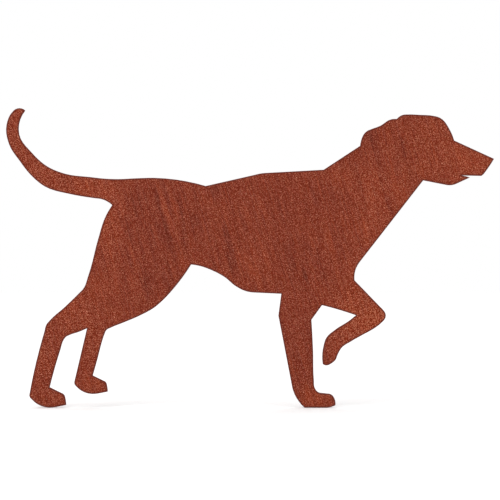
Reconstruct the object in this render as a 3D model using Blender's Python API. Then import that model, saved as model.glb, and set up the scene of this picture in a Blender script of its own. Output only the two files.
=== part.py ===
"""A pointing dog in silhouette, cut from one flat sheet of rusting steel for a garden wall or fence.

Metres, +Z up. The dog looks towards +X and its front face towards -Y. The origin lies on the back face,
in the middle of the barrel, where the sheet meets the wall that holds it.
"""
from math import radians
from typing import NamedTuple

import bpy
from mathutils import Vector

# Driving dimensions, in metres: from the back of the tail to the nose, and through the sheet
LENGTH = 0.600
SHEET_THICKNESS = 0.003

# The outline is drawn in millimetres for a dog of this length and then scaled to LENGTH. On the drawing,
# a point's first value runs forwards from the back of the tail and its second one up from the soles.
DRAWN_LENGTH = 600.0

# The part's origin on the drawing, in the middle of the barrel
DRAWN_ORIGIN = Vector((297.5, 213.5))

# Landmarks of the drawing, clockwise as the dog is seen: the corners where one body part meets the next
TAIL_TIP = Vector((23.5, 365.5))
LOIN = Vector((245.5, 272.5))
WITHERS = Vector((390.5, 292.5))
NAPE = Vector((435.5, 322.0))
EAR_FRONT = Vector((480.5, 355.0))
STOP = Vector((551.0, 328.5))
NOSE_TIP = Vector((600.0, 306.0))
LIP = Vector((584.5, 285.0))
MOUTH_CORNER = Vector((560.0, 285.5))
JAW_TIP = Vector((570.5, 283.0))
THROAT = Vector((513.0, 279.5))
CHEST = Vector((428.5, 156.5))
RAISED_TOE = Vector((389.5, 53.5))
ELBOW_FOLD = Vector((430.5, 113.5))
ARMPIT = Vector((388.5, 126.0))
FORELEG_TOP = Vector((375.5, 108.0))
FORE_TOE = Vector((405.0, 3.0))
FORE_HEEL = Vector((367.0, 0.0))
ELBOW = Vector((338.5, 140.0))
GROIN = Vector((227.5, 176.0))
NEAR_ANKLE = Vector((106.5, 39.5))
LEG_FORK = Vector((99.5, 97.5))
FAR_ANKLE = Vector((53.5, 25.0))
TAIL_ROOT = Vector((130.5, 249.0))

# Heel to toe of each hind paw on the drawing
NEAR_HIND_PAW = 41.0
FAR_HIND_PAW = 45.0

# A hind paw from the ankle's front corner, in shares of its length: the straight top, the toes and the sole
PAW_TOP = Vector((0.356, -0.174))
PAW_TOES = (Vector((0.404, -0.222)), Vector((0.431, -0.317)), Vector((0.449, -0.482)))
PAW_SOLE = (Vector((0.344, -0.506)), Vector((-0.120, -0.542)), Vector((-0.189, -0.524)),
            Vector((-0.458, -0.362)), Vector((-0.551, -0.234)), Vector((-0.545, -0.162)))

# Straight pieces that a curve is drawn with
CURVE_STEPS = 5

# Rust: linear base colour, roughness and metallic value
RUST_COLOUR = (0.246, 0.050, 0.027, 1.0)
RUST_ROUGHNESS = 0.85
RUST_METALLIC = 0.3


class Stroke(NamedTuple):
    """One Bezier piece of the outline."""
    start: Vector
    handle_out: Vector
    handle_in: Vector
    end: Vector
    straight: bool


def heading_of_arc(before, here, after):
    """The way that a circle through three points runs at the middle one."""
    arriving = here - before
    leaving = after - here
    return (arriving.normalized() * leaving.length + leaving.normalized() * arriving.length).normalized()


def mirrored(heading, chord):
    """The heading at the other end of a round arc over this chord."""
    return -heading.reflect(chord.normalized())


def handle_reach(heading, chord):
    """How far a Bezier handle reaches, so that the stroke over this chord is as round as an arc."""
    return chord.length / 3 * 2 / (1 + heading.dot(chord.normalized()))


class Pen:
    """Draws the outline stroke by stroke, from corner to corner."""

    def __init__(self, start):
        self.here = start
        self.heading = None
        self.strokes = []

    def line(self, *stops):
        """Straight on to each stop in turn."""
        for stop in stops:
            stop = Vector(stop)
            third = (stop - self.here) / 3
            self.strokes.append(Stroke(self.here, self.here + third, stop - third, stop, True))
            self.here = stop
            self.heading = third.normalized()

    def curve(self, *stops, flowing_on=False, towards=None):
        """Smoothly on through the stops, if asked on from the stroke before, or towards a point at the end."""
        points = [self.here, *(Vector(stop) for stop in stops)]
        chords = [b - a for a, b in zip(points, points[1:])]
        inner = [heading_of_arc(*points[i - 1:i + 2]) for i in range(1, len(points) - 1)]
        last = None if towards is None else (Vector(towards) - points[-1]).normalized()
        if flowing_on:
            first = self.heading
        else:
            first = mirrored(inner[0] if inner else last, chords[0])
        if last is None:
            last = mirrored(inner[-1] if inner else first, chords[-1])
        headings = [first, *inner, last]
        for i, chord in enumerate(chords):
            handle_out = points[i] + headings[i] * handle_reach(headings[i], chord)
            handle_in = points[i + 1] - headings[i + 1] * handle_reach(headings[i + 1], chord)
            self.strokes.append(Stroke(points[i], handle_out, handle_in, points[i + 1], False))
        self.here = points[-1]
        self.heading = last


def draw_tail_top_and_back(pen):
    """Down the inner side of the tail, over the rump to the loin, and along the back to the withers."""
    pen.curve((16, 336), (31.5, 313.5), (50, 297), (73, 287.5),
              (103.5, 283.5), (122, 281.5), (138, 281), (160, 282), (183, 282.5), LOIN)
    pen.line((302.5, 285.5))
    pen.curve((318, 288.5), flowing_on=True, towards=WITHERS)
    pen.line(WITHERS)


def draw_head(pen):
    """Up the neck, round the ear and the skull, and down the muzzle to the lip."""
    pen.line(NAPE)
    pen.curve((436, 325.5), (444.5, 340.5), (448, 342), (460, 346.5), (473.5, 354.5), EAR_FRONT)
    pen.curve((488, 360), (494.5, 360.5), (509, 360), (524, 359), (533.5, 356.5), (546, 341), STOP)
    pen.line(NOSE_TIP)
    pen.curve((590.5, 291.5), (586.5, 286.5), LIP)


def draw_mouth_and_throat(pen):
    """In along the upper lip, back out along the lower one, then under the jaw and down to the chest."""
    pen.line(MOUTH_CORNER, (565.5, 284.5), JAW_TIP, (553, 275))
    pen.curve((541, 274), flowing_on=True, towards=THROAT)
    pen.line(THROAT, (436, 180.5))
    pen.curve((430.5, 171.5), (428.5, 163.5), CHEST, flowing_on=True)


def draw_raised_foreleg(pen):
    """Down the upper arm, round the bent knee and the hanging paw, and back up to the armpit."""
    pen.line((460.5, 123.5))
    pen.curve((467, 113), (459.5, 102.5), (453.5, 98), (437.5, 89), (423.5, 81), (413, 74),
              (407.5, 64.5), (405, 58.5), (401, 55), (393, 52), RAISED_TOE, flowing_on=True)
    pen.curve((390.5, 76), (394, 86), (404.5, 95.5), (423, 107.5), (428.5, 112), ELBOW_FOLD)
    pen.curve((410.5, 120), ARMPIT)


def draw_standing_foreleg(pen):
    """Down the front of the standing leg, round its toes, along the flat sole and up to the elbow."""
    pen.line(FORELEG_TOP)
    pen.curve((377.5, 71), (378.5, 34), (379.5, 24.5), (383, 19.5), (392, 17.5), (400, 16), (405, 7),
              FORE_TOE)
    pen.curve((398.5, 0.5), (392, 0))
    pen.line(FORE_HEEL)
    pen.curve((353, 21), (352, 24.5), towards=(335.5, 110))
    pen.line((335.5, 110))
    pen.curve((335, 114), flowing_on=True, towards=ELBOW)
    pen.line(ELBOW)


def draw_belly_and_thigh(pen):
    """Back along the belly to the groin, and down the front of the near thigh and shank."""
    pen.line((306, 141.5))
    pen.curve((294, 143.5), (281.5, 150), (269.5, 160), (254, 168.5), (239, 174), GROIN, flowing_on=True)
    pen.curve((208.5, 149.5), (190, 129.5), (183.5, 124), (165, 113.5), (146.5, 105.5), (128, 98),
              (124, 96), (120.5, 89.5), (118.5, 83.5), (112, 59), NEAR_ANKLE)


def draw_hind_paw(pen, length):
    """A hind paw of this length, from the front of the ankle round the toes and the sole to the heel."""
    ankle = pen.here.copy()
    pen.line(ankle + PAW_TOP * length)
    pen.curve(*(ankle + share * length for share in PAW_TOES), flowing_on=True)
    pen.curve(*(ankle + share * length for share in PAW_SOLE))


def draw_hind_legs(pen):
    """Round the near paw and up to the fork, down the far leg, round its paw and up to the tail."""
    draw_hind_paw(pen, NEAR_HIND_PAW)
    pen.line(LEG_FORK)
    pen.curve((89, 93), (78.5, 89.5), (73, 86.5), (70.5, 83), (66.5, 71), FAR_ANKLE)
    draw_hind_paw(pen, FAR_HIND_PAW)
    pen.curve((44.5, 84.5), (47, 93), (49.5, 102), (54, 107.5), (72.5, 124), (91, 142), (94, 145),
              (101.5, 163.5), (113, 206.5), (123, 236.5), TAIL_ROOT)


def draw_tail_outside(pen):
    """From the root of the tail along its outer side and over the round end to the tip."""
    pen.curve((117, 256.5), (109.5, 257.5), (79.5, 262.5), (47.5, 272), (29.5, 287), (17, 303),
              (4, 323), (0.5, 347.5), (8.5, 364.5), (11.5, 367), TAIL_TIP)


def draw_outline():
    """The whole outline of the dog, as strokes on the drawing."""
    pen = Pen(TAIL_TIP)
    draw_tail_top_and_back(pen)
    draw_head(pen)
    draw_mouth_and_throat(pen)
    draw_raised_foreleg(pen)
    draw_standing_foreleg(pen)
    draw_belly_and_thigh(pen)
    draw_hind_legs(pen)
    draw_tail_outside(pen)
    return pen.strokes


def on_sheet(point):
    """A point of the drawing on the sheet, in metres from the origin."""
    return ((point - DRAWN_ORIGIN) * LENGTH / DRAWN_LENGTH).to_3d()


def make_rust():
    """The rust that covers the whole sheet."""
    material = bpy.data.materials.new("rust")
    material.use_nodes = True
    surface = material.node_tree.nodes["Principled BSDF"]
    surface.inputs["Base Color"].default_value = RUST_COLOUR
    surface.inputs["Roughness"].default_value = RUST_ROUGHNESS
    surface.inputs["Metallic"].default_value = RUST_METALLIC
    return material


def make_dog_silhouette():
    """The sheet itself: the filled outline, standing up with its back face on the plane of the wall."""
    strokes = draw_outline()
    curve = bpy.data.curves.new("dog_silhouette", "CURVE")
    curve.dimensions = "2D"
    curve.fill_mode = "BOTH"
    curve.extrude = SHEET_THICKNESS / 2
    curve.resolution_u = CURVE_STEPS
    spline = curve.splines.new("BEZIER")
    spline.use_cyclic_u = True
    spline.resolution_u = CURVE_STEPS
    spline.bezier_points.add(len(strokes) - 1)
    for i, (anchor, stroke) in enumerate(zip(spline.bezier_points, strokes)):
        before = strokes[i - 1]
        anchor.handle_left_type = "VECTOR" if before.straight else "FREE"
        anchor.handle_right_type = "VECTOR" if stroke.straight else "FREE"
        anchor.co = on_sheet(stroke.start)
        anchor.handle_left = on_sheet(before.handle_in)
        anchor.handle_right = on_sheet(stroke.handle_out)
    sheet = bpy.data.objects.new("dog_silhouette", curve)
    sheet.rotation_euler = (radians(90), 0, 0)
    sheet.location = (0, -SHEET_THICKNESS / 2, 0)
    curve.materials.append(make_rust())
    return sheet


def main():
    """Clears the scene and builds the dog in a collection of its own."""
    for old in list(bpy.data.objects):
        bpy.data.objects.remove(old)
    collection = bpy.data.collections.new("dog garden ornament")
    bpy.context.scene.collection.children.link(collection)
    collection.objects.link(make_dog_silhouette())


if __name__ == "__main__":
    main()
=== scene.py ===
"""A pointing dog cut from one sheet of steel and rusted all over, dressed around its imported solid.

Lengths are in metres in the part's own frame: +X towards the nose, -Y out of the front face and +Z up.
"""
import logging
from dataclasses import dataclass
from enum import Enum
from functools import reduce
from math import radians, tau
from typing import Any, ClassVar

import bmesh
import bpy
import numpy as np
from bmesh.types import BMesh, BMVert
from bpy.types import Material, Node, NodeSocket, NodeTree, Object
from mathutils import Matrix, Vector, noise
from mathutils.geometry import delaunay_2d_cdt
from mathutils.kdtree import KDTree


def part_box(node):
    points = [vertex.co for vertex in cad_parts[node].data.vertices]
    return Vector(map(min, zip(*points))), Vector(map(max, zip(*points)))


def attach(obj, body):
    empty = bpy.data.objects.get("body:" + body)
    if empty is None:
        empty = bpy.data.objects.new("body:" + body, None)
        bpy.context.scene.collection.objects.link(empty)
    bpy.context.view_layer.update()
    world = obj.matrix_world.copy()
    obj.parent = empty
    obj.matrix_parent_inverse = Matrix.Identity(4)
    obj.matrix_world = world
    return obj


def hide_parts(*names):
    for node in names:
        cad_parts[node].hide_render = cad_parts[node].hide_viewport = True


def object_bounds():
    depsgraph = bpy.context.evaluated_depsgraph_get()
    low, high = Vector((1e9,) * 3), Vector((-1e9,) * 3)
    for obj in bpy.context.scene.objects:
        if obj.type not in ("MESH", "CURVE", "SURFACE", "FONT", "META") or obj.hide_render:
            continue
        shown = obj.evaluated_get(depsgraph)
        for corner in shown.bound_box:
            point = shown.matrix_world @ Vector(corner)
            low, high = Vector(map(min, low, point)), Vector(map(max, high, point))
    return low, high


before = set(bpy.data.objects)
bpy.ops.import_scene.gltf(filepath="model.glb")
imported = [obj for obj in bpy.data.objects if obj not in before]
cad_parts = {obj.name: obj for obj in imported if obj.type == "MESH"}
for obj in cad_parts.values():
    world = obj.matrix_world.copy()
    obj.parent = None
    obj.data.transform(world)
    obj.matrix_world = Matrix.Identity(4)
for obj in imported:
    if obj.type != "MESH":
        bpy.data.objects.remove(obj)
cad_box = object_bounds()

log = logging.getLogger("dog")

NODE = "dog_silhouette"

# The photograph is a square, and the dog in it is this many pixels long
PHOTO_SIDE = 500
DOG_LENGTH_PX = 488
METRES_PER_PX = (cad_box[1].x - cad_box[0].x) / DOG_LENGTH_PX
# The pixel that the part's origin shows at
ORIGIN_PX = (248, 234)

# Names of the attributes and the UV map that the meshes carry for their materials
INSET = "inset"
BLOOM = "bloom"
GRIT = "grit"
CRUMB_TONE = "crumb_tone"
EDGE_UV = "along_edge"

# The numbers of a Mix node's colour sockets, and of a Random Value node's number sockets
MIX_A, MIX_B, MIX_RESULT = 6, 7, 2
RANDOM_LOW, RANDOM_HIGH, RANDOM_RESULT = 2, 3, 1

# The mean of what a noise gives, and the tone that a finish shows its middle colour at
MEAN = 0.5
# How far along the tones its light colour lies
LIGHT_TONE = 0.85
# Rust has hardly any shine
SPECULAR_LEVEL = 0.03
WHITE = (1.0, 1.0, 1.0, 1.0)
# The kind of a ramp that eases in and out
SMOOTH = "SMOOTHSTEP"

# What is left of a run of rain at its ends, and how far from its middle it begins to fade, by its length
RUN_END_SHARE = 0.25
RUN_FADE_FROM = 0.2

# Corners of the solid that lie closer than this are one, and so are points of a face's plan
SAME_CORNER = 1e-6
SAME_POINT = 1e-8
# A face of the solid is part of the cut where its normal leans less than this along Y
CUT_LEAN = 0.5
# How far apart the points of the outline may be, and how many points are tested against it at once
OUTLINE_SPACING = 0.0008
TESTED_AT_ONCE = 2000
# Asks the triangulation for the faces within the outline
WITHIN_OUTLINE = 1

Colour = tuple[float, float, float]
Ring = list[BMVert]


def at_pixel(x: float, y: float) -> Vector:
    """The place of a pixel of the photograph on the back face, in the part's frame."""
    return Vector(((x - ORIGIN_PX[0]) * METRES_PER_PX, 0.0, (ORIGIN_PX[1] - y) * METRES_PER_PX))


def put(thing: Object) -> Object:
    """Puts an object into the scene."""
    bpy.context.scene.collection.objects.link(thing)
    return thing


@dataclass(frozen=True)
class NoiseLook:
    """The settings of a noise texture."""
    scale: float  # How many of its broadest patches go into a metre
    detail: float  # How many finer layers lie within them
    roughness: float = 0.5  # How strong those are


class NodeBench:
    """Adds nodes to a tree and joins them up."""

    def __init__(self, tree: NodeTree) -> None:
        """Works on this tree."""
        self.tree = tree

    def fill(self, node: Node, inputs: dict[Any, Any]) -> None:
        """Sets a node's inputs.

        Args:
            node: The node.
            inputs: What goes into each input, by its name or number: a value, or another node's output.
        """
        for key, value in inputs.items():
            if isinstance(value, NodeSocket):
                self.tree.links.new(value, node.inputs[key])
            else:
                node.inputs[key].default_value = value

    def add(self, kind: str, inputs: dict[Any, Any] | None = None, **settings: Any) -> Node:
        """Adds a node.

        Args:
            kind: The node's type.
            inputs: What goes into each input.
            settings: The node's own settings.

        Returns:
            The new node.
        """
        node = self.tree.nodes.new(kind)
        for name, value in settings.items():
            setattr(node, name, value)
        self.fill(node, inputs or {})
        return node

    def math(self, operation: str, a: Any, b: Any = 0.0, clamp: bool = False) -> NodeSocket:
        """The result of a Math node on two values or outputs."""
        node = self.add("ShaderNodeMath", {0: a, 1: b}, operation=operation, use_clamp=clamp)
        return node.outputs[0]

    def total(self, *parts: Any) -> NodeSocket:
        """Values or outputs added up, from the first to the last."""
        return reduce(lambda result, part: self.math("ADD", result, part), parts)

    def swing(self, value: Any, share: float, mean: float = MEAN) -> NodeSocket:
        """How far a value lies from its mean, times a share."""
        return self.math("MULTIPLY", self.math("SUBTRACT", value, mean), share)

    def vector(self, operation: str, *values: Any) -> NodeSocket:
        """The result of a Vector Math node on values or outputs."""
        node = self.add("ShaderNodeVectorMath", dict(enumerate(values)), operation=operation)
        return node.outputs["Value" if operation in ("LENGTH", "DOT_PRODUCT") else "Vector"]

    def ramp(self, value: Any, low: float, high: float, to_low: float = 0.0, to_high: float = 1.0,
             kind: str = "LINEAR") -> NodeSocket:
        """A value carried from one range to another, and kept inside the second."""
        inputs = {"Value": value, "From Min": low, "From Max": high, "To Min": to_low, "To Max": to_high}
        return self.add("ShaderNodeMapRange", inputs, interpolation_type=kind).outputs["Result"]

    def noise(self, look: NoiseLook, vector: Any) -> Any:
        """The outputs of a noise texture at a point."""
        inputs = {"Vector": vector, "Scale": look.scale, "Detail": look.detail, "Roughness": look.roughness}
        return self.add("ShaderNodeTexNoise", inputs).outputs

    def mix(self, factor: Any, a: Any, b: Any) -> NodeSocket:
        """The first colour at a factor of 0, and the second at 1."""
        node = self.add("ShaderNodeMix", {"Factor": factor, MIX_A: a, MIX_B: b}, data_type="RGBA")
        return node.outputs[MIX_RESULT]

    def random(self, low: Any, high: Any, seed: int) -> NodeSocket:
        """A random number between two values for each point."""
        inputs = {RANDOM_LOW: low, RANDOM_HIGH: high, "Seed": seed}
        return self.add("FunctionNodeRandomValue", inputs, data_type="FLOAT").outputs[RANDOM_RESULT]


class GroupBench(NodeBench):
    """A bench on a new group of nodes."""

    def __init__(self, name: str, inputs: dict[str, str], outputs: dict[str, str],
                 kind: str = "ShaderNodeTree") -> None:
        """Starts the group.

        Args:
            name: The group's name.
            inputs: The kind of each input, by its name.
            outputs: The kind of each output.
            kind: The group's own kind.
        """
        super().__init__(bpy.data.node_groups.new(name, kind))
        for way, sockets in (("INPUT", inputs), ("OUTPUT", outputs)):
            for socket, value in sockets.items():
                self.tree.interface.new_socket(socket, in_out=way, socket_type=f"NodeSocket{value}")
        self.given = self.add("NodeGroupInput").outputs

    def give(self, results: dict[str, NodeSocket]) -> NodeTree:
        """Joins the results to the group's outputs by their names, and hands the finished group over."""
        self.add("NodeGroupOutput", results)
        return self.tree


class FinishBench(NodeBench):
    """A bench on a new material."""

    def __init__(self, name: str) -> None:
        """Starts the material.

        Args:
            name: The material's name.
        """
        self.material = bpy.data.materials.new(name)
        self.material.use_nodes = True
        super().__init__(self.material.node_tree)
        self.point = self.add("ShaderNodeTexCoord").outputs["Object"]

    def attribute(self, name: str) -> NodeSocket:
        """The number that the mesh carries under a name."""
        return self.add("ShaderNodeAttribute", attribute_name=name).outputs["Fac"]

    def effect(self, group: NodeTree, **inputs: Any) -> Any:
        """The outputs of a shared group at this point."""
        return self.add("ShaderNodeGroup", {"Vector": self.point, **inputs}, node_tree=group).outputs

    def bump(self, height: Any, distance: float) -> NodeSocket:
        """The normal of a surface that is this high, as a share of a distance."""
        return self.add("ShaderNodeBump", {"Height": height, "Distance": distance}).outputs["Normal"]

    def finish(self, colour: Any, roughness: Any, **more: Any) -> Material:
        """Gives the surface its inputs.

        Args:
            colour: Its colour.
            roughness: How dull it is.
            more: What goes into its other inputs, by their names.

        Returns:
            The material.
        """
        surface = {"Base Color": colour, "Roughness": roughness, "Specular IOR Level": SPECULAR_LEVEL}
        self.fill(self.tree.nodes["Principled BSDF"], {**surface, **more})
        return self.material


class Side(Enum):
    """The two faces of the sheet. The value is the way that the face looks along Y."""
    FRONT = -1
    BACK = 1


# The plate's material slots: its two faces, and the cut between them
FINISH_ORDER = (Side.FRONT, None, Side.BACK)


@dataclass(frozen=True)
class Bloom:
    """A broad place where the rust is more orange, or darker."""
    pixel: tuple[float, float]  # Its middle in the photograph
    reach: tuple[float, float]  # How far it spreads across and up, in pixels
    warmth: float  # How much more orange it is, and below zero how much darker
    grit: float = 0.0  # How much more strongly the grain shows there


BLOOMS = {
    "tail": Bloom((45, 165), (95, 85), 0.22, 0.26),
    "tail root": Bloom((93, 190), (40, 20), 0.36, 0.10),
    "back of thigh": Bloom((112, 234), (22, 58), 0.30, 0.16),
    "above the hock": Bloom((100, 288), (30, 26), 0.22),
    "below the thigh": Bloom((115, 314), (20, 13), 0.20),
    "hock": Bloom((67, 311), (42, 34), 0.32, 0.24),
    "far shank": Bloom((45, 362), (24, 50), 0.14, 0.30),
    "far hind paw": Bloom((54, 400), (24, 16), 0.26),
    "near shank": Bloom((92, 340), (20, 40), 0.26, 0.30),
    "near hind paw": Bloom((88, 383), (26, 18), 0.34),
    "fore paw": Bloom((316, 397), (26, 24), 0.42),
    "raised forearm": Bloom((359, 320), (48, 44), 0.60, 0.34),
    "knee": Bloom((375, 322), (18, 20), 0.56, 0.34),
    "raised paw": Bloom((336, 352), (17, 20), 0.24),
    "front of chest": Bloom((352, 276), (26, 52), 0.27),
    "breast": Bloom((372, 226), (28, 38), 0.14),
    "withers": Bloom((338, 176), (24, 16), 0.24),
    "throat": Bloom((380, 190), (36, 70), 0.27, 0.08),
    "throat corner": Bloom((402, 186), (14, 30), 0.26),
    "crown": Bloom((411, 129), (26, 16), 0.15),
    "brow": Bloom((437, 125), (16, 14), 0.22),
    "skull": Bloom((425, 150), (38, 44), 0.24, 0.10),
    "muzzle": Bloom((470, 162), (54, 40), 0.46, 0.08),
    "jaw": Bloom((424, 171), (14, 18), 0.22),
    "ribs": Bloom((262, 268), (34, 34), 0.12),
    "chest floor": Bloom((321, 288), (20, 15), 0.12),
    "groin": Bloom((183, 265), (14, 14), 0.16),
    "flank": Bloom((248, 258), (18, 30), -0.06, -0.06),
    "rump": Bloom((141, 196), (26, 20), -0.18),
    "buttock": Bloom((136, 250), (20, 38), -0.15),
    "hip": Bloom((158, 228), (30, 62), -0.12),
    "loin": Bloom((192, 224), (22, 36), -0.13),
    "hollow of the back": Bloom((217, 190), (24, 16), -0.17),
    "front of thigh": Bloom((161, 282), (26, 34), -0.14),
    "shoulder": Bloom((288, 246), (26, 50), -0.14),
    "shoulder top": Bloom((314, 196), (14, 18), -0.13),
    "behind the ear": Bloom((372, 138), (14, 16), -0.20),
}


@dataclass(frozen=True)
class Run:
    """A line down the sheet where rain ran: dark where it lingered, orange where it left rust."""
    top: tuple[float, float]  # Its upper end in the photograph
    foot: tuple[float, float]  # Its lower end
    reach: float  # How far it spreads to each side, in pixels
    warmth: float  # How much more orange it is, and below zero how much darker


RUNS = {
    "hip, dark": Run((153, 182), (173, 260), 6.0, -0.24),
    "loin, dark": Run((177, 187), (187, 248), 4.5, -0.40),
    "loin, short": Run((192, 210), (197, 230), 4.5, -0.28),
    "flank, dark": Run((223, 212), (236, 286), 6.5, -0.32),
    "rump, dark": Run((124, 212), (131, 240), 5.0, -0.26),
    "thigh, dark": Run((147, 268), (150, 305), 5.5, -0.22),
    "shoulder, behind": Run((281, 236), (296, 276), 8.0, -0.20),
    "shoulder, dark": Run((321, 232), (316, 270), 6.0, -0.14),
    "armpit": Run((302, 266), (307, 284), 5.0, -0.34),
    "chest, dark": Run((339, 222), (345, 268), 7.0, -0.20),
    "throat, dark": Run((375, 142), (385, 192), 5.0, -0.36),
    "throat, foot": Run((385, 192), (393, 218), 4.0, -0.38),
    "cheek, dark": Run((401, 134), (405, 162), 4.0, -0.26),
    "hip, orange": Run((157, 184), (175, 240), 4.5, 0.36),
    "loin, orange": Run((167, 190), (193, 246), 5.0, 0.24),
    "back, orange": Run((207, 195), (216, 226), 6.0, 0.24),
    "belly, orange": Run((237, 248), (260, 286), 8.0, 0.22),
    "buttock, orange": Run((127, 242), (141, 276), 5.0, 0.28),
    "chest, orange": Run((326, 228), (332, 258), 6.0, 0.36),
    "neck, orange": Run((361, 172), (375, 206), 6.0, 0.30),
    "brisket, orange": Run((362, 216), (368, 248), 4.0, 0.34),
    "throat, orange": Run((390, 146), (396, 196), 5.0, 0.26),
}


@dataclass(frozen=True)
class GrainGroup:
    """The fine grain of rust, which several finishes share."""
    grain: float = 0.0012  # How far apart the raised grains are
    dome: tuple[float, float] = (0.10, 0.62)  # Where a grain begins to slope and ends, by their spacing
    dome_mean: float = 0.35  # The grains' mean height, where their tops are 1
    cell: float = 0.0010  # How wide one patch of a single shade is
    dust: NoiseLook = NoiseLook(1 / 0.0006, 2.0, 0.7)  # The dust between them
    dust_height: float = 0.8  # How high it lies
    grain_share: float = 0.97  # How much the raised grains lighten the tone
    cell_share: float = 0.12  # How much the patches' shades spread it
    dust_share: float = 0.90  # How much the dust does
    spark_share: float = 0.36  # How much lighter the rare bright patches are
    pit_share: float = 0.30  # How much darker the rare dark ones are
    rare_from: float = 0.95  # How rare both are: only patches with a shade above this are so

    def build(self) -> NodeTree:
        """Builds the group.

        Returns:
            The group, which gives a tone from 0 to 1 and a height for the bump.
        """
        inputs = {"Vector": "Vector", "Contrast": "Float"}
        bench = GroupBench("Rust Grain", inputs, {"Tone": "Float", "Height": "Float"})
        point = bench.given["Vector"]
        grains = bench.add("ShaderNodeTexVoronoi", {"Vector": point, "Scale": 1 / self.grain})
        dome = bench.ramp(grains.outputs["Distance"], *self.dome, 1.0, 0.0)
        cells = bench.add("ShaderNodeTexVoronoi", {"Vector": point, "Scale": 1 / self.cell})
        shades = bench.add("ShaderNodeSeparateColor", {"Color": cells.outputs["Color"]}).outputs
        spark = bench.ramp(shades["Green"], self.rare_from, 1.0, 0.0, self.spark_share)
        pit = bench.ramp(shades["Blue"], self.rare_from, 1.0, 0.0, self.pit_share)
        dust = bench.noise(self.dust, point)["Fac"]
        speckle = bench.total(
            bench.swing(dome, self.grain_share, self.dome_mean),
            bench.swing(shades["Red"], self.cell_share),
            bench.swing(dust, self.dust_share),
            bench.math("SUBTRACT", spark, pit),
        )
        contrasted = bench.math("MULTIPLY", speckle, bench.given["Contrast"])
        tone = bench.math("ADD", contrasted, MEAN, clamp=True)
        height = bench.math("ADD", dome, bench.math("MULTIPLY", dust, self.dust_height))
        return bench.give({"Tone": tone, "Height": height})


def bloom_strengths(points: np.ndarray) -> np.ndarray:
    """The blooms added up at points on the sheet, each fading to nothing at its reach.

    Args:
        points: The points' X and Z.

    Returns:
        A row for each point, with its warmth and its grit.
    """
    total = np.zeros((len(points), 2))
    for bloom in BLOOMS.values():
        middle = at_pixel(*bloom.pixel)
        away = (points - (middle.x, middle.z)) / (np.array(bloom.reach) * METRES_PER_PX)
        share = np.clip(1 - np.hypot(*away.T), 0, 1)
        fade = share * share * (3 - 2 * share)
        total += fade[:, None] * (bloom.warmth, bloom.grit)
    return total


def run_group() -> NodeTree:
    """Builds the group for one run of rain.

    Returns:
        The group, which gives the run's warmth at a point and fades it to both sides and ends.
    """
    inputs = {"Vector": "Vector", "Top": "Vector", "Foot": "Vector", "Reach": "Float", "Warmth": "Float"}
    bench = GroupBench("Rain Run", inputs, {"Warmth": "Float"})
    given = bench.given
    flat = bench.vector("MULTIPLY", given["Vector"], (1.0, 0.0, 1.0))
    away = bench.vector("SUBTRACT", flat, given["Top"])
    line = bench.vector("SUBTRACT", given["Foot"], given["Top"])
    reached = bench.vector("DOT_PRODUCT", away, line)
    share = bench.math("DIVIDE", reached, bench.vector("DOT_PRODUCT", line, line), clamp=True)
    beside = bench.vector("SUBTRACT", away, bench.vector("MULTIPLY", line, share))
    gap = bench.math("DIVIDE", bench.vector("LENGTH", beside), given["Reach"])
    near = bench.ramp(gap, 1.0, 0.0, kind=SMOOTH)
    half = 0.5
    off_middle = bench.math("ABSOLUTE", bench.math("SUBTRACT", share, half))
    ends = bench.ramp(off_middle, half, RUN_FADE_FROM, RUN_END_SHARE, 1.0, kind=SMOOTH)
    faded = bench.math("MULTIPLY", near, ends)
    return bench.give({"Warmth": bench.math("MULTIPLY", faded, given["Warmth"])})


@dataclass(frozen=True)
class Streak:
    """Noise drawn out into streaks."""
    width: float  # How wide the broadest streak is
    length: float  # How long it is
    detail: float  # How many finer streaks lie within it
    share: float  # How much they change the warmth
    roughness: float = 0.75  # How strong the finer streaks are


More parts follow.
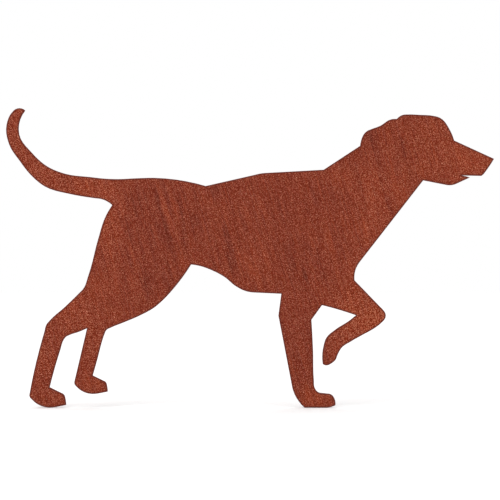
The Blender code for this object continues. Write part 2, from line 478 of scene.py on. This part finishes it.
@dataclass(frozen=True)
class PatinaGroup:
    """The broad colouring of the rust: runs of rain, soft clouds and slanted streaks, over the blooms."""
    cloud: NoiseLook = NoiseLook(1 / 0.030, 4.0, 0.85)  # The soft clouds
    broad: Streak = Streak(0.0075, 0.060, 2.0, 0.68)  # The broad streaks
    fine: Streak = Streak(0.0022, 0.048, 0.5, 1.05)  # The fine ones
    slant: float = radians(16)  # How far both lean from the upright, towards the nose at the foot
    stray: NoiseLook = NoiseLook(120.0, 4.0, 0.9)  # The noise that bends the runs of rain
    waver: float = 0.0110  # How far it bends them
    cloud_share: float = 0.22  # How much the clouds change the warmth
    ground: float = 0.24  # The warmth where nothing changes it
    shade_from: float = 0.05  # The warmth below which the rust is shaded too
    shade_full: float = -0.45  # The warmth at which it is shaded most

    def streaks(self, bench: NodeBench, vector: Any, streak: Streak) -> NodeSocket:
        """Draws noise out along the slant.

        Args:
            bench: The bench of the group.
            vector: The point in object coordinates.
            streak: The streaks to draw.

        Returns:
            How much they change the warmth.
        """
        lean = {"Vector": vector, "Axis": (0.0, 1.0, 0.0), "Angle": self.slant}
        turned = bench.add("ShaderNodeVectorRotate", lean, rotation_type="AXIS_ANGLE").outputs[0]
        drawn = bench.vector("MULTIPLY", turned, (1 / streak.width, 1.0, 1 / streak.length))
        streaks = bench.noise(NoiseLook(1.0, streak.detail, streak.roughness), drawn)
        return bench.swing(streaks["Fac"], streak.share)

    def runs(self, bench: NodeBench, vector: Any) -> NodeSocket:
        """Adds up the runs of rain.

        Args:
            bench: The bench of the group.
            vector: The point in object coordinates.

        Returns:
            Their warmth.
        """
        offset = bench.vector("SUBTRACT", bench.noise(self.stray, vector)["Color"], (MEAN,) * 3)
        wavering = bench.vector("ADD", vector, bench.vector("MULTIPLY", offset, (self.waver,) * 3))
        run_tree = run_group()
        total = 0.0
        for name, run in RUNS.items():
            inputs = {"Vector": wavering, "Top": at_pixel(*run.top), "Foot": at_pixel(*run.foot),
                      "Reach": run.reach * METRES_PER_PX, "Warmth": run.warmth}
            line = bench.add("ShaderNodeGroup", inputs, node_tree=run_tree, label=name)
            total = bench.math("ADD", line.outputs["Warmth"], total)
        return total

    def build(self) -> NodeTree:
        """Builds the group.

        Returns:
            The group, which gives a warmth from 0, brown, to 1, orange, and a shade of 1 at the darkest.
        """
        inputs = {"Vector": "Vector", "Runs": "Float", "Bloom": "Float", "Sheet": "Float"}
        bench = GroupBench("Patina", inputs, {"Warmth": "Float", "Shade": "Float"})
        given = bench.given
        aside = bench.add("ShaderNodeCombineXYZ", {"Y": given["Sheet"]}).outputs[0]
        place = bench.vector("ADD", given["Vector"], aside)
        warmth = bench.total(
            bench.swing(bench.noise(self.cloud, place)["Fac"], self.cloud_share),
            bench.total(*(self.streaks(bench, place, streak) for streak in (self.broad, self.fine))),
            bench.math("MULTIPLY", self.runs(bench, given["Vector"]), given["Runs"]),
            given["Bloom"],
            self.ground,
        )
        shade = bench.ramp(warmth, self.shade_from, self.shade_full)
        return bench.give({"Warmth": bench.math("ADD", warmth, 0.0, clamp=True), "Shade": shade})


@dataclass(frozen=True)
class RimShadeGroup:
    """The thin dark line along the outline and the darker arris beside it: shade painted into the colour at
    the cut's rim.
    """
    width: float = 0.0023  # How far in from the outline the dark line reaches
    full: float = 0.3  # How far in it stays at its full strength, as a share of its width
    stray: NoiseLook = NoiseLook(260.0, 2.0)  # The noise that moves its inner side
    wander: float = 0.0012  # How far it moves it
    arris: float = 0.0007  # How far in the painted shade on the sharp corner reaches
    corner_shade_full: float = 0.4  # How far in that stays at its full strength, as a share

    def build(self) -> NodeTree:
        """Builds the group.

        Returns:
            The group, which gives a mask for the scorch and one for the arris, each 1 where it is full.
        """
        inputs = {"Vector": "Vector", "Inset": "Float"}
        bench = GroupBench("Cut Scorch", inputs, {"Scorch": "Float", "Arris": "Float"})
        inset = bench.given["Inset"]
        shift = bench.swing(bench.noise(self.stray, bench.given["Vector"])["Fac"], self.wander)
        depth = bench.math("ADD", inset, shift)
        return bench.give({
            "Scorch": bench.ramp(depth, self.width * self.full, self.width, 1.0, 0.0, kind=SMOOTH),
            "Arris": bench.ramp(inset, self.arris * self.corner_shade_full, self.arris, 1.0, 0.0, kind=SMOOTH),
        })


@dataclass(frozen=True)
class EffectGroups:
    """The shader groups that the finishes share."""
    grain: NodeTree
    patina: NodeTree
    # Paints shade along the outline and on its corner
    scorch: NodeTree

    @classmethod
    def build(cls) -> "EffectGroups":
        """Builds each group once."""
        return cls(GrainGroup().build(), PatinaGroup().build(), RimShadeGroup().build())


@dataclass(frozen=True)
class Tones:
    """The colours of one rust, from its pits to its brightest specks."""
    dark: Colour
    middle: Colour
    light: Colour
    speck: Colour

    def ramp(self, bench: NodeBench, tone: Any) -> NodeSocket:
        """Colours a tone.

        Args:
            bench: The bench of the material.
            tone: The tone, from 0 to 1.

        Returns:
            The colour.
        """
        node = bench.add("ShaderNodeValToRGB", {"Fac": tone})
        stops = node.color_ramp.elements
        stops[0].color = (*self.dark, 1.0)
        stops[1].color = (*self.speck, 1.0)
        stops.new(MEAN).color = (*self.middle, 1.0)
        stops.new(LIGHT_TONE).color = (*self.light, 1.0)
        return node.outputs["Color"]


@dataclass(frozen=True)
class RustedFace:
    """Bare sheet steel rusted all over: brown in the hollows and orange on the blooms."""
    # Its colours where the rust is darkest
    cool: Tones = Tones(
        (0.085, 0.006, 0.001), (0.188, 0.0318, 0.0168), (0.300, 0.085, 0.054), (0.52, 0.19, 0.13)
    )
    # Its colours where it is most orange
    warm: Tones = Tones(
        (0.156, 0.014, 0.002), (0.313, 0.0572, 0.0228), (0.440, 0.117, 0.068), (0.74, 0.28, 0.16)
    )
    scorch: Colour = (0.115, 0.028, 0.019)  # The colour of the shade painted along the cut
    arris: Colour = (0.16, 0.012, 0.003)  # The darker, redder colour of the shade painted on the cut's very corner
    shade: Colour = (0.68, 0.71, 0.74)  # What is left of each colour where the patina is darkest
    grain_contrast: float = 0.925  # How strongly the grain shows where no bloom adds grit
    stray: NoiseLook = NoiseLook(420.0, 1.0)  # The noise that the hue strays by
    tint: float = 0.22  # How much it strays
    relief: float = 0.00012  # How high the grain's bump is
    roughness: tuple[float, float] = (0.95, 0.78)  # That of the pits and that of the specks
    back_place: float = 3.0  # How far off the back takes its clouds and streaks from

    def material(self, groups: EffectGroups, side: Side) -> Material:
        """Makes the finish.

        Args:
            groups: The shared effects.
            side: Which face it is for. The back is plainer: it has none of the blooms and runs.

        Returns:
            The material.
        """
        in_front = side is Side.FRONT
        bench = FinishBench(f"rusted_{side.name.lower()}")
        contrast = bench.math("ADD", bench.attribute(GRIT), self.grain_contrast)
        grain = bench.effect(groups.grain, Contrast=contrast)
        tone = grain["Tone"]
        patina = bench.effect(
            groups.patina, Runs=1.0 if in_front else 0.0, Bloom=bench.attribute(BLOOM),
            Sheet=0.0 if in_front else self.back_place,
        )
        # Painted shade: a thin dark line along the outline, darkest on its very corner
        scorch = bench.effect(groups.scorch, Inset=bench.attribute(INSET))
        rust = bench.mix(patina["Warmth"], self.cool.ramp(bench, tone), self.warm.ramp(bench, tone))
        stray = bench.noise(self.stray, bench.point)["Color"]
        tint = bench.vector("MULTIPLY_ADD", stray, (self.tint,) * 3, (1 - self.tint / 2,) * 3)
        shaded = bench.mix(patina["Shade"], WHITE, (*self.shade, 1.0))
        tinted = bench.vector("MULTIPLY", bench.vector("MULTIPLY", rust, tint), shaded)
        # Paints the rim shade, and then the corner's darker shade, into the colour itself
        rim_shaded = bench.mix(scorch["Scorch"], tinted, (*self.scorch, 1.0))
        colour = bench.mix(scorch["Arris"], rim_shaded, (*self.arris, 1.0))
        roughness = bench.ramp(tone, 0.0, 1.0, *self.roughness)
        return bench.finish(colour, roughness, Normal=bench.bump(grain["Height"], self.relief))


@dataclass(frozen=True)
class CutEdge:
    """The narrow wall of the cut, dark from the flame, with drag lines across it under the rust."""
    colours: Tones = Tones(
        (0.045, 0.010, 0.006), (0.115, 0.030, 0.018), (0.24, 0.075, 0.04), (0.36, 0.12, 0.07)
    )
    line_pitch: float = 0.0009  # How far apart the drag lines are
    line_breaks: float = 120.0  # How often one changes in a metre on its way across
    line_share: float = 0.6  # How much the lines change the tone
    grain_share: float = 0.4  # How much the grain does
    relief: float = 0.00015  # How deep the lines are
    roughness: float = 0.82

    def material(self, groups: EffectGroups) -> Material:
        """Makes the finish.

        Args:
            groups: The shared effects.

        Returns:
            The material.
        """
        bench = FinishBench("rusted_cut_edge")
        grain = bench.effect(groups.grain, Contrast=1.0)["Tone"]
        along = bench.add("ShaderNodeUVMap", uv_map=EDGE_UV).outputs["UV"]
        drawn = bench.vector("MULTIPLY", along, (1 / self.line_pitch, self.line_breaks, 0.0))
        lines = bench.noise(NoiseLook(1.0, 2.0), drawn)["Fac"]
        tone = bench.total(
            bench.math("MULTIPLY", lines, self.line_share),
            bench.math("MULTIPLY", grain, self.grain_share),
        )
        colour = self.colours.ramp(bench, tone)
        return bench.finish(colour, self.roughness, Normal=bench.bump(tone, self.relief))


@dataclass(frozen=True)
class RustCrumb:
    """The crumbs of scale that stand on the rust, lighter and more orange than what they stand on."""
    # Their colours, from the darkest crumb to the lightest
    colours: Tones = Tones(
        (0.17, 0.026, 0.012), (0.28, 0.062, 0.035), (0.48, 0.165, 0.10), (0.80, 0.40, 0.26)
    )
    own_share: float = 0.8  # How much a crumb's own tone counts
    grain_share: float = 0.2  # How much the grain does
    roughness: float = 0.9

    def material(self, groups: EffectGroups) -> Material:
        """Makes the finish.

        Args:
            groups: The shared effects.

        Returns:
            The material.
        """
        bench = FinishBench("rust_crumb")
        own = bench.math("MULTIPLY", bench.attribute(CRUMB_TONE), self.own_share)
        grain = bench.math("MULTIPLY", bench.effect(groups.grain, Contrast=1.0)["Tone"], self.grain_share)
        tone = bench.math("ADD", own, grain, clamp=True)
        return bench.finish(self.colours.ramp(bench, tone), self.roughness)


class PlateOutline:
    """The cut outline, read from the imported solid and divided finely."""

    def __init__(self, points: np.ndarray) -> None:
        """Measures the outline.

        Args:
            points: Its points, as X and Z, anticlockwise as seen from the front.
        """
        self.points = points
        steps = np.roll(points, -1, axis=0) - points
        lengths = np.hypot(*steps.T)
        self.along = np.concatenate([[0.0], np.cumsum(lengths)])
        out = np.column_stack([steps[:, 1], -steps[:, 0]]) / lengths[:, None]
        normals = out + np.roll(out, 1, axis=0)
        self.normals = normals / np.hypot(*normals.T)[:, None]
        self.tree = KDTree(len(points))
        for i, (x, z) in enumerate(points):
            self.tree.insert((x, z, 0.0), i)
        self.tree.balance()

    @classmethod
    def of_node(cls, node: Object) -> "PlateOutline":
        """Reads the front face's outline from a merged copy of the solid.

        Args:
            node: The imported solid, whose own mesh is left alone.

        Returns:
            The outline.
        """
        copy = bmesh.new()
        copy.from_mesh(node.data)
        bmesh.ops.remove_doubles(copy, verts=copy.verts, dist=SAME_CORNER)
        front = min(v.co.y for v in copy.verts)
        following = {}
        for face in copy.faces:
            if all(abs(v.co.y - front) < SAME_CORNER for v in face.verts):
                for loop in face.loops:
                    if any(abs(f.normal.y) < CUT_LEAN for f in loop.edge.link_faces):
                        following[loop.vert] = loop.link_loop_next.vert
        start = next(iter(following))
        ring = [start]
        while following[ring[-1]] is not start:
            ring.append(following[ring[-1]])
        corners = np.array([(v.co.x, v.co.z) for v in ring])
        copy.free()
        return cls(cls.divided(corners))

    @staticmethod
    def divided(corners: np.ndarray) -> np.ndarray:
        """Divides each long step of an outline evenly.

        Args:
            corners: The outline's corners.

        Returns:
            Its points.
        """
        points = []
        for a, b in zip(corners, np.roll(corners, -1, axis=0)):
            count = max(1, round(np.hypot(*(b - a)) / OUTLINE_SPACING))
            points.extend(a + (b - a) * k / count for k in range(count))
        return np.array(points)

    def inset_of(self, points: np.ndarray) -> np.ndarray:
        """Measures how far points lie from the outline.

        Args:
            points: The points' X and Z.

        Returns:
            Each point's distance to the nearer of the two steps that meet at its nearest outline point.
        """
        nearest = np.array([self.tree.find((x, z, 0.0))[1] for x, z in points])
        best = np.full(len(points), np.inf)
        for shift in (-1, 0):
            a = self.points[(nearest + shift) % len(self.points)]
            b = self.points[(nearest + shift + 1) % len(self.points)]
            step = b - a
            share = np.clip(np.sum((points - a) * step, axis=1) / np.sum(step * step, axis=1), 0, 1)
            best = np.minimum(best, np.hypot(*(points - a - share[:, None] * step).T))
        return best

    def holds(self, points: np.ndarray) -> np.ndarray:
        """Tests which points lie inside the outline, by how often a line from each crosses it.

        Args:
            points: The points' X and Z.

        Returns:
            Whether each lies inside.
        """
        a = self.points
        b = np.roll(a, -1, axis=0)
        rise = np.where(a[:, 1] == b[:, 1], 1.0, b[:, 1] - a[:, 1])
        inside = []
        for start in range(0, len(points), TESTED_AT_ONCE):
            x, z = np.hsplit(points[start:start + TESTED_AT_ONCE], 2)
            spans = (a[:, 1] > z) != (b[:, 1] > z)
            crossing = a[:, 0] + (z - a[:, 1]) / rise * (b[:, 0] - a[:, 0])
            inside.append((spans & (x < crossing)).sum(axis=1) % 2 == 1)
        return np.concatenate(inside)


@dataclass(frozen=True)
class Patches:
    """Raised or sunken patches of the rust."""
    size: float  # How wide they are
    height: float  # How high they stand, or how deep they lie
    above: float  # They begin where the noise is above this
    steepness: float  # How fast they rise from there to their full height
    shift: float = 0.0  # How far into the noise they lie, in patches

    def at(self, place: Vector) -> float:
        """Their height at a place."""
        rise = (noise.noise(place / self.size + Vector((self.shift, 0, 0))) - self.above) * self.steepness
        return min(max(rise, 0.0), 1.0) * self.height


@dataclass
class DogPlate:
    """The cut sheet with its relief: softened cut, scale, pits and drag lines."""
    outline: PlateOutline
    low: Vector  # The lowest corner of the solid
    high: Vector  # Its highest corner
    rim_radius: float = 0.00035  # How far the rust has rounded the cut's corner
    rim_rings: tuple[float, ...] = (0.3, 1.0, 3.0)  # How far in its rings of points lie, in rim radii
    rim_crowding: float = 0.97  # Ring points nearer to the cut than this share of that are left out
    front_pitch: float = 0.0015  # How far apart the points of the front face are
    back_pitch: float = 0.0030  # How far apart those of the back face are
    row_share: float = 0.866  # How far apart their rows are, by their pitch
    shake: float = 0.28  # How far each is moved aside at most
    rim_gap: float = 0.4  # How far they keep from the innermost ring
    seed: int = 11  # Fixes how they are moved
    swell: float = 0.00005  # How high the soft unevenness of the rust is
    swell_size: float = 0.012  # How wide it is
    swell_layers: tuple[float, float, int] = (1.0, 2.0, 3)  # Its layers' falloff, step and number
    scabs: Patches = Patches(0.0045, 0.00006, 0.08, 6.0)  # The patches of scale
    pits: Patches = Patches(0.0032, 0.00008, 0.34, 5.0, 31.0)  # The pits
    side_shift: float = 7.0  # How far apart in the noise the two faces lie
    relief_from: float = 4.0  # How far in the relief is at its full height, in rim radii
    wall_rows: int = 4  # How many rows of faces the cut has
    drag: float = 0.00004  # How deep the drag lines of the cut are
    drag_pitch: float = 0.0017  # How far apart they are
    drag_lean: float = 0.9  # How far they trail from front to back, in pitches
    drag_below: float = 0.2  # They are cut where the noise is below this
    drag_place: float = 3.0  # Where in the noise they lie

    def rim_points(self) -> np.ndarray:
        """Places the points close inside the outline that carry the rounded rim.

        Returns:
            Their X and Z.
        """
        rings = []
        for share in self.rim_rings:
            inset = self.rim_radius * share
            ring = self.outline.points - self.outline.normals * inset
            rings.append(ring[self.outline.inset_of(ring) > inset * self.rim_crowding])
        points = np.concatenate(rings)
        return points[self.outline.holds(points)]

    def field_points(self, pitch: float, seed: int) -> np.ndarray:
        """Places points over the open face, on a shaken triangular grid.

        Args:
            pitch: How far apart they are.
            seed: Fixes how they are shaken.

        Returns:
            The X and Z of those that lie clear of the rim.
        """
        random = np.random.default_rng(seed)
        columns = np.arange(self.low.x, self.high.x, pitch)
        rows = np.arange(self.low.z, self.high.z, pitch * self.row_share)
        x, z = np.meshgrid(columns, rows)
        x[1::2] += pitch / 2
        grid = np.column_stack([x.ravel(), z.ravel()])
        grid += random.uniform(-self.shake, self.shake, grid.shape) * pitch
        grid = grid[self.outline.holds(grid)]
        rim = self.rim_radius * self.rim_rings[-1]
        return grid[self.outline.inset_of(grid) > rim + pitch * self.rim_gap]

    def relief(self, x: float, z: float, side: Side) -> float:
        """Shapes the rust's surface.

        Args:
            x: The point's X.
            z: Its Z.
            side: Which face it is on.

        Returns:
            How far the rust stands out of the face, below zero in the pits.
        """
        place = Vector((x, self.side_shift * side.value, z))
        swell = noise.fractal(place / self.swell_size, *self.swell_layers) * self.swell
        return swell + self.scabs.at(place) - self.pits.at(place)

    def face_height(self, point: np.ndarray, inset: float, side: Side) -> float:
        """Finds where a face lies, with its rounded rim and its relief.

        Args:
            point: The point's X and Z.
            inset: How far in from the cut it is.
            side: Which face it is on.

        Returns:
            The face's Y there.
        """
        rounding = max(self.rim_radius - inset, 0.0)
        drop = self.rim_radius - (self.rim_radius ** 2 - rounding ** 2) ** 0.5
        share = min(inset / (self.rim_radius * self.relief_from), 1.0)
        plane = self.low.y if side is Side.FRONT else self.high.y
        return plane + side.value * (self.relief(point[0], point[1], side) * share - drop)

    def add_face(self, mesh: BMesh, side: Side, pitch: float) -> Ring:
        """Adds one face of the sheet.

        Args:
            mesh: The mesh to add to.
            side: Which face.
            pitch: How far apart its points are.

        Returns:
            The vertices of its outline, in order.
        """
        edge = self.outline.points
        field = self.field_points(pitch, self.seed + side.value)
        plan = [Vector(point) for point in np.concatenate([edge, self.rim_points(), field])]
        ring = list(range(len(edge)))
        points, _, faces, _, _, owners = delaunay_2d_cdt(plan, [], [ring], WITHIN_OUTLINE, SAME_POINT, True)
        flat = np.array(points)
        insets = self.outline.inset_of(flat)
        strengths = bloom_strengths(flat) * (side is Side.FRONT)
        layers = [mesh.verts.layers.float[name] for name in (INSET, BLOOM, GRIT)]
        vertices = []
        for point, inset, strength in zip(flat, insets, strengths):
            vertex = mesh.verts.new((point[0], self.face_height(point, inset, side), point[1]))
            for layer, value in zip(layers, (inset, *strength)):
                vertex[layer] = value
            vertices.append(vertex)
        for corners, owner in zip(faces, owners):
            if owner:
                order = corners if side is Side.FRONT else reversed(corners)
                face = mesh.faces.new([vertices[i] for i in order])
                face.smooth = True
                face.material_index = FINISH_ORDER.index(side)
        return vertices[:len(edge)]

    def add_wall(self, mesh: BMesh, front: Ring, back: Ring) -> None:
        """Adds the cut between the two faces' outlines, with drag lines that lean as the flame trailed.

        Args:
            mesh: The mesh to add to.
            front: The outline of the front face.
            back: The outline of the back face.
        """
        rows = [front]
        for k in range(1, self.wall_rows):
            share = k / self.wall_rows
            row = []
            for i, (near, far) in enumerate(zip(front, back)):
                along = self.outline.along[i] / self.drag_pitch + share * self.drag_lean
                lines = noise.noise(Vector((along, share, self.drag_place)))
                ripple = min((lines - self.drag_below) * self.drag, 0.0)
                x, z = self.outline.points[i] + self.outline.normals[i] * ripple
                row.append(mesh.verts.new((x, near.co.y + (far.co.y - near.co.y) * share, z)))
            rows.append(row)
        rows.append(back)
        layer = mesh.loops.layers.uv[EDGE_UV]
        thickness = self.high.y - self.low.y
        count = len(front)
        for k, (near, far) in enumerate(zip(rows, rows[1:])):
            for i in range(count):
                j = (i + 1) % count
                face = mesh.faces.new([near[i], far[i], far[j], near[j]])
                face.smooth = True
                face.material_index = FINISH_ORDER.index(None)
                corners = ((i, k), (i, k + 1), (i + 1, k + 1), (i + 1, k))
                for loop, (step, row) in zip(face.loops, corners):
                    loop[layer].uv = (self.outline.along[step], row / self.wall_rows * thickness)

    def build(self) -> Object:
        """Builds the plate.

        Returns:
            The plate as one closed mesh.
        """
        mesh = bmesh.new()
        for name in (INSET, BLOOM, GRIT):
            mesh.verts.layers.float.new(name)
        mesh.loops.layers.uv.new(EDGE_UV)
        front = self.add_face(mesh, Side.FRONT, self.front_pitch)
        back = self.add_face(mesh, Side.BACK, self.back_pitch)
        self.add_wall(mesh, front, back)
        bmesh.ops.triangulate(mesh, faces=mesh.faces)
        bmesh.ops.recalc_face_normals(mesh, faces=mesh.faces)
        data = bpy.data.meshes.new("rusted_plate")
        mesh.to_mesh(data)
        mesh.free()
        return put(bpy.data.objects.new("rusted_plate", data))

    def dress(self, plate: Object, groups: EffectGroups) -> None:
        """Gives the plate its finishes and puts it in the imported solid's place.

        Args:
            plate: The plate.
            groups: The effects that its finishes share.
        """
        for side in FINISH_ORDER:
            finish = RustedFace().material(groups, side) if side else CutEdge().material(groups)
            plate.data.materials.append(finish)
        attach(plate, "root")
        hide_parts(NODE)


@dataclass
class RustCrumbs:
    """Crumbs of scale scattered over both faces by Geometry Nodes."""
    # The tree's inputs that are numbers, each set from the field of its name
    NUMBERS: ClassVar = ("Density", "Gap", "Smallest", "Largest", "Flatness", "Rarity", "Edge Margin")

    density: float = 110000.0  # How many crumbs a square metre has at full thickness
    patches: NoiseLook = NoiseLook(38.0, 2.0)  # The noise that sets where they are thick
    patch_range: tuple[float, float] = (0.35, 0.62)  # What it is where they are thinnest and thickest
    thickness: tuple[float, float] = (0.22, 0.5)  # How thick they are there, before a bloom adds to it
    gap: float = 0.0016  # The least distance between two crumbs
    smallest: float = 0.00030  # The half width of the smallest crumb
    largest: float = 0.00075  # The half width of the largest
    narrowest: float = 0.6  # How narrow a crumb may be, as a share of its width
    flatness: float = 0.28  # A crumb's height as a share of its width
    rarity: float = 1.8  # How much rarer light crumbs are than dark ones; at 1 they are as many
    edge_margin: float = 0.0016  # How far in from the cut they begin
    seed: int = 7  # Fixes where they lie

    def tree(self) -> NodeTree:
        """Builds the node tree that scatters the crumbs.

        Returns:
            The tree, with an input for each value that the modifier sets.
        """
        numbers = dict.fromkeys(self.NUMBERS, "Float")
        inputs = {"Geometry": "Geometry", **numbers, "Seed": "Int", "Material": "Material"}
        bench = GroupBench("Scatter Crumbs", inputs, {"Geometry": "Geometry"}, "GeometryNodeTree")
        given = bench.given
        inset, bloom = (
            bench.add("GeometryNodeInputNamedAttribute", {"Name": name}, data_type="FLOAT").outputs[0]
            for name in (INSET, BLOOM)
        )
        here = bench.add("GeometryNodeInputPosition").outputs[0]
        thickness = bench.ramp(bench.noise(self.patches, here)["Fac"], *self.patch_range, *self.thickness)
        clear = bench.math("GREATER_THAN", inset, given["Edge Margin"])
        factor = bench.math("MULTIPLY", bench.math("ADD", thickness, bloom), clear)
        spread = {"Mesh": given["Geometry"], "Distance Min": given["Gap"], "Seed": given["Seed"],
                  "Density Max": given["Density"], "Density Factor": factor}
        points = bench.add("GeometryNodeDistributePointsOnFaces", spread, distribute_method="POISSON")
        width = bench.random(given["Smallest"], given["Largest"], seed=1)
        squash = bench.random(self.narrowest, 1.0, seed=2)
        spin = bench.random(0.0, tau, seed=3)
        shade = bench.random(0.0, 1.0, seed=4)
        scale = bench.add("ShaderNodeCombineXYZ", {
            "X": width,
            "Y": bench.math("MULTIPLY", width, squash),
            "Z": bench.math("MULTIPLY", width, given["Flatness"]),
        })
        crumb = bench.add("GeometryNodeMeshIcoSphere", {"Radius": 1.0, "Subdivisions": 1})
        placed = bench.add("GeometryNodeInstanceOnPoints",
                           {"Points": points.outputs["Points"], "Instance": crumb.outputs["Mesh"],
                            "Rotation": points.outputs["Rotation"], "Scale": scale.outputs[0]})
        turn = bench.add("ShaderNodeCombineXYZ", {"Z": spin})
        turned = bench.add("GeometryNodeRotateInstances",
                           {"Instances": placed.outputs[0], "Rotation": turn.outputs[0]})
        toned = bench.add("GeometryNodeStoreNamedAttribute",
                          {"Geometry": turned.outputs[0], "Name": CRUMB_TONE,
                           "Value": bench.math("POWER", shade, given["Rarity"])},
                          data_type="FLOAT", domain="INSTANCE")
        real = bench.add("GeometryNodeRealizeInstances", {"Geometry": toned.outputs[0]})
        dressed = bench.add("GeometryNodeSetMaterial",
                            {"Geometry": real.outputs[0], "Material": given["Material"]})
        return bench.give({"Geometry": dressed.outputs[0]})

    def build(self, plate: Object, finish: Material) -> Object:
        """Scatters the crumbs over the plate and turns them into a plain mesh.

        Args:
            plate: The plate they stand on.
            finish: The crumbs' material.

        Returns:
            The crumbs as one piece.
        """
        crumbs = put(bpy.data.objects.new("rust_crumbs", plate.data))
        modifier = crumbs.modifiers.new("scatter", "NODES")
        modifier.node_group = self.tree()
        values = {name: getattr(self, name.lower().replace(" ", "_")) for name in (*self.NUMBERS, "Seed")}
        values["Material"] = finish
        for item in modifier.node_group.interface.items_tree:
            if item.in_out == "INPUT" and item.name in values:
                modifier[item.identifier] = values[item.name]
        graph = bpy.context.evaluated_depsgraph_get()
        mesh = bpy.data.meshes.new_from_object(crumbs.evaluated_get(graph))
        mesh.name = "rust_crumbs"
        crumbs.modifiers.clear()
        crumbs.data = mesh
        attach(crumbs, "root")
        return crumbs


@dataclass
class Studio:
    """The pale floor, the soft lights and the camera."""
    world_light: float = 0.70  # How bright the white surroundings light the dog
    key_power: float = 16.0  # The power of the large soft light
    key_size: float = 1.2  # Its width
    key_place: tuple[float, float, float] = (-1.3, -1.7, 1.4)  # Where it hangs, above the camera's left
    overhead_strength: float = 1.5  # The strength of the light from straight above
    overhead_spread: float = radians(60)  # Its angle
    lens: float = 135.0  # The camera's focal length in millimetres
    sensor: float = 36.0  # Its sensor's width in millimetres
    floor_size: float = 12.0  # The floor's width
    floor_gap: float = 0.0002  # How far it lies below the lowest paw
    floor_paleness: float = 0.9  # Its grey
    floor_roughness: float = 0.9

    def light_world(self) -> None:
        """Puts white all round, at full brightness to the camera and softer on the dog."""
        world = bpy.data.worlds.new("white_surround")
        bpy.context.scene.world = world
        world.use_nodes = True
        bench = NodeBench(world.node_tree)
        seen = world.node_tree.nodes["Background"]
        bench.fill(seen, {"Color": WHITE, "Strength": 1.0})
        felt = bench.add("ShaderNodeBackground", {"Color": WHITE, "Strength": self.world_light})
        path = bench.add("ShaderNodeLightPath")
        mix = bench.add("ShaderNodeMixShader",
                        {0: path.outputs["Is Camera Ray"], 1: felt.outputs[0], 2: seen.outputs[0]})
        bench.fill(world.node_tree.nodes["World Output"], {"Surface": mix.outputs[0]})

    def add_key(self) -> None:
        """Hangs the square soft light."""
        lamp = bpy.data.lights.new("key_softbox", "AREA")
        lamp.energy = self.key_power
        lamp.shape = "SQUARE"
        lamp.size = self.key_size
        stand = put(bpy.data.objects.new("key_softbox", lamp))
        stand.location = self.key_place
        stand.rotation_euler = (-Vector(self.key_place)).to_track_quat("-Z", "Y").to_euler()

    def add_overhead(self) -> None:
        """Adds the broad light from straight above, which keeps the floor white as far as it goes."""
        lamp = bpy.data.lights.new("overhead", "SUN")
        lamp.energy = self.overhead_strength
        lamp.angle = self.overhead_spread
        put(bpy.data.objects.new("overhead", lamp))

    def lay_floor(self, lowest: float) -> None:
        """Lays the pale floor under the lowest paw.

        Args:
            lowest: The paw's lowest Z.
        """
        place = (0.0, 0.0, lowest - self.floor_gap)
        bpy.ops.mesh.primitive_plane_add(size=self.floor_size, location=place)
        floor = bpy.context.object
        floor.name = "pale_floor"
        grey = (*(self.floor_paleness,) * 3, 1.0)
        matt = {"Specular IOR Level": 0.0}
        floor.data.materials.append(FinishBench("pale_floor").finish(grey, self.floor_roughness, **matt))

    def place_camera(self, front: float) -> None:
        """Sets the camera straight in front, so that the picture's frame is the photograph's.

        Args:
            front: Where the front face lies along Y.
        """
        data = bpy.data.cameras.new("camera")
        data.lens = self.lens
        data.sensor_width = self.sensor
        camera = put(bpy.data.objects.new("camera", data))
        middle = at_pixel(PHOTO_SIDE / 2, PHOTO_SIDE / 2)
        width = PHOTO_SIDE * METRES_PER_PX
        camera.location = (middle.x, front - width * self.lens / self.sensor, middle.z)
        camera.rotation_euler = (radians(90), 0.0, 0.0)
        bpy.context.scene.camera = camera

    def build(self, low: Vector) -> None:
        """Sets up everything around the dog.

        Args:
            low: The lowest corner of the solid.
        """
        self.light_world()
        self.add_key()
        self.add_overhead()
        self.lay_floor(low.z)
        self.place_camera(low.y)
        bpy.context.scene.view_settings.view_transform = "Standard"


def main() -> None:
    """Builds the dog and the studio in order, and reports each piece."""
    logging.basicConfig(level=logging.INFO, format="%(name)s: %(message)s")
    low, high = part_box(NODE)
    groups = EffectGroups.build()
    maker = DogPlate(PlateOutline.of_node(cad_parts[NODE]), low, high)
    plate = maker.build()
    crumbs = RustCrumbs().build(plate, RustCrumb().material(groups))
    maker.dress(plate, groups)
    for piece in (plate, crumbs):
        triangles = sum(len(polygon.vertices) - 2 for polygon in piece.data.polygons)
        log.info("%s has %d triangles", piece.name, triangles)
    Studio().build(low)


if __name__ == "__main__":
    main()
